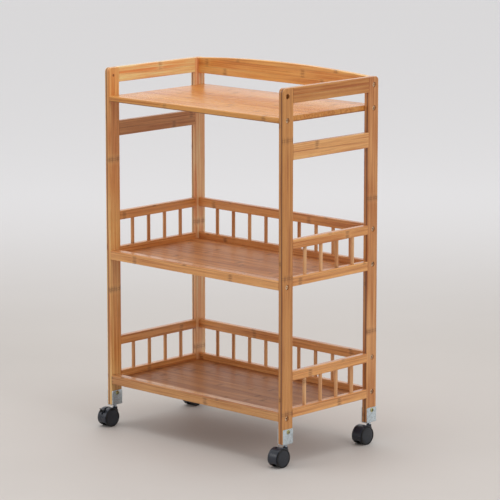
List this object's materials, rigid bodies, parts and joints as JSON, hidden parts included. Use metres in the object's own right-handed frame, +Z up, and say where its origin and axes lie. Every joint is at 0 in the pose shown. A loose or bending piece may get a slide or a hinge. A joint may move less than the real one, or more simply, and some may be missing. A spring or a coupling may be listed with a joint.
{
  "type": "rolling utility cart",
  "caption": "Open bamboo utility cart with shelves, railed tiers, an arched back rail and swivel twin-wheel casters with foot brakes.",
  "frame": {"origin": "on the floor under the middle of the whole cart, casters included", "axes": "+X to the right along the long side, the open front faces -Y, +Z up"},
  "size_m": [0.547, 0.3248, 0.809],
  "materials": {
    "bamboo_frame": "satin lacquered caramel bamboo",
    "bamboo_shelf": "satin lacquered laminated bamboo",
    "bamboo_spindle": "satin lacquered round bamboo",
    "dowel_wood": "raw fluted hardwood",
    "bolt_steel": "antique zinc",
    "insert_brass": "machined",
    "zinc_plate": "bright zinc plated",
    "screw_brass": "yellow zinc plated",
    "pin_steel": "bright turned",
    "wheel_plastic": "moulded black nylon",
    "housing_plastic": "moulded black nylon",
    "lever_plastic": "moulded black nylon"
  },
  "bodies": {
    "cart_frame": {"arched_back_rail": "bamboo_frame", "back_left_bracket": "zinc_plate", "back_left_leg": "bamboo_frame", "back_lower_guard_rail": "bamboo_frame", "back_lower_low_rail": "bamboo_frame", "back_middle_guard_rail": "bamboo_frame", "back_middle_low_rail": "bamboo_frame", "back_right_bracket": "zinc_plate", "back_right_leg": "bamboo_frame", "back_spindles": "bamboo_spindle", "bracket_screws": "screw_brass", "caster_stems": "pin_steel", "frame_bolts": "bolt_steel", "front_left_bracket": "zinc_plate", "front_left_leg": "bamboo_frame", "front_right_bracket": "zinc_plate", "front_right_leg": "bamboo_frame", "left_lower_guard_rail": "bamboo_frame", "left_lower_low_rail": "bamboo_frame", "left_middle_guard_rail": "bamboo_frame", "left_middle_low_rail": "bamboo_frame", "left_spindles": "bamboo_spindle", "left_top_rail": "bamboo_frame", "left_towel_rail": "bamboo_frame", "lower_front_bar": "bamboo_frame", "lower_shelf": "bamboo_shelf", "middle_front_bar": "bamboo_frame", "middle_shelf": "bamboo_shelf", "rail_dowels": "dowel_wood", "right_lower_guard_rail": "bamboo_frame", "right_lower_low_rail": "bamboo_frame", "right_middle_guard_rail": "bamboo_frame", "right_middle_low_rail": "bamboo_frame", "right_spindles": "bamboo_spindle", "right_top_rail": "bamboo_frame", "right_towel_rail": "bamboo_frame", "threaded_inserts": "insert_brass", "top_shelf": "bamboo_shelf"},
    "front_left_caster": {"front_left_caster_housing": "housing_plastic", "front_left_axle": "pin_steel", "front_left_brake_pin": "pin_steel"},
    "front_left_outer_wheel": {"front_left_outer_wheel": "wheel_plastic"},
    "front_left_inner_wheel": {"front_left_inner_wheel": "wheel_plastic"},
    "front_left_brake_lever": {"front_left_brake_lever": "lever_plastic"},
    "back_left_caster": {"back_left_caster_housing": "housing_plastic", "back_left_axle": "pin_steel", "back_left_brake_pin": "pin_steel"},
    "back_left_outer_wheel": {"back_left_outer_wheel": "wheel_plastic"},
    "back_left_inner_wheel": {"back_left_inner_wheel": "wheel_plastic"},
    "back_left_brake_lever": {"back_left_brake_lever": "lever_plastic"},
    "front_right_caster": {"front_right_caster_housing": "housing_plastic", "front_right_axle": "pin_steel"},
    "front_right_outer_wheel": {"front_right_outer_wheel": "wheel_plastic"},
    "front_right_inner_wheel": {"front_right_inner_wheel": "wheel_plastic"},
    "back_right_caster": {"back_right_caster_housing": "housing_plastic", "back_right_axle": "pin_steel"},
    "back_right_outer_wheel": {"back_right_outer_wheel": "wheel_plastic"},
    "back_right_inner_wheel": {"back_right_inner_wheel": "wheel_plastic"}
  },
  "joints": [
    {"name": "front_left_swivel", "type": "hinge", "parent": "cart_frame", "child": "front_left_caster", "pos_m": [-0.2585, -0.1201, 0.04], "axis": [0, 0, 1], "continuous": true},
    {"name": "front_left_outer_spin", "type": "hinge", "parent": "front_left_caster", "child": "front_left_outer_wheel", "pos_m": [-0.2585, -0.1401, 0.02], "axis": [1, 0, 0], "continuous": true},
    {"name": "front_left_inner_spin", "type": "hinge", "parent": "front_left_caster", "child": "front_left_inner_wheel", "pos_m": [-0.2585, -0.1401, 0.02], "axis": [1, 0, 0], "continuous": true},
    {"name": "front_left_brake", "type": "hinge", "parent": "front_left_caster", "child": "front_left_brake_lever", "pos_m": [-0.2585, -0.1381, 0.034], "axis": [1, 0, 0], "range_deg": [0, 10]},
    {"name": "back_left_swivel", "type": "hinge", "parent": "cart_frame", "child": "back_left_caster", "pos_m": [-0.2585, 0.1469, 0.04], "axis": [0, 0, 1], "continuous": true},
    {"name": "back_left_outer_spin", "type": "hinge", "parent": "back_left_caster", "child": "back_left_outer_wheel", "pos_m": [-0.2585, 0.1269, 0.02], "axis": [1, 0, 0], "continuous": true},
    {"name": "back_left_inner_spin", "type": "hinge", "parent": "back_left_caster", "child": "back_left_inner_wheel", "pos_m": [-0.2585, 0.1269, 0.02], "axis": [1, 0, 0], "continuous": true},
    {"name": "back_left_brake", "type": "hinge", "parent": "back_left_caster", "child": "back_left_brake_lever", "pos_m": [-0.2585, 0.1289, 0.034], "axis": [1, 0, 0], "range_deg": [0, 10]},
    {"name": "front_right_swivel", "type": "hinge", "parent": "cart_frame", "child": "front_right_caster", "pos_m": [0.2585, -0.1201, 0.04], "axis": [0, 0, 1], "continuous": true},
    {"name": "front_right_outer_spin", "type": "hinge", "parent": "front_right_caster", "child": "front_right_outer_wheel", "pos_m": [0.2585, -0.1401, 0.02], "axis": [1, 0, 0], "continuous": true},
    {"name": "front_right_inner_spin", "type": "hinge", "parent": "front_right_caster", "child": "front_right_inner_wheel", "pos_m": [0.2585, -0.1401, 0.02], "axis": [1, 0, 0], "continuous": true},
    {"name": "back_right_swivel", "type": "hinge", "parent": "cart_frame", "child": "back_right_caster", "pos_m": [0.2585, 0.1469, 0.04], "axis": [0, 0, 1], "continuous": true},
    {"name": "back_right_outer_spin", "type": "hinge", "parent": "back_right_caster", "child": "back_right_outer_wheel", "pos_m": [0.2585, 0.1269, 0.02], "axis": [1, 0, 0], "continuous": true},
    {"name": "back_right_inner_spin", "type": "hinge", "parent": "back_right_caster", "child": "back_right_inner_wheel", "pos_m": [0.2585, 0.1269, 0.02], "axis": [1, 0, 0], "continuous": true}
  ]
}
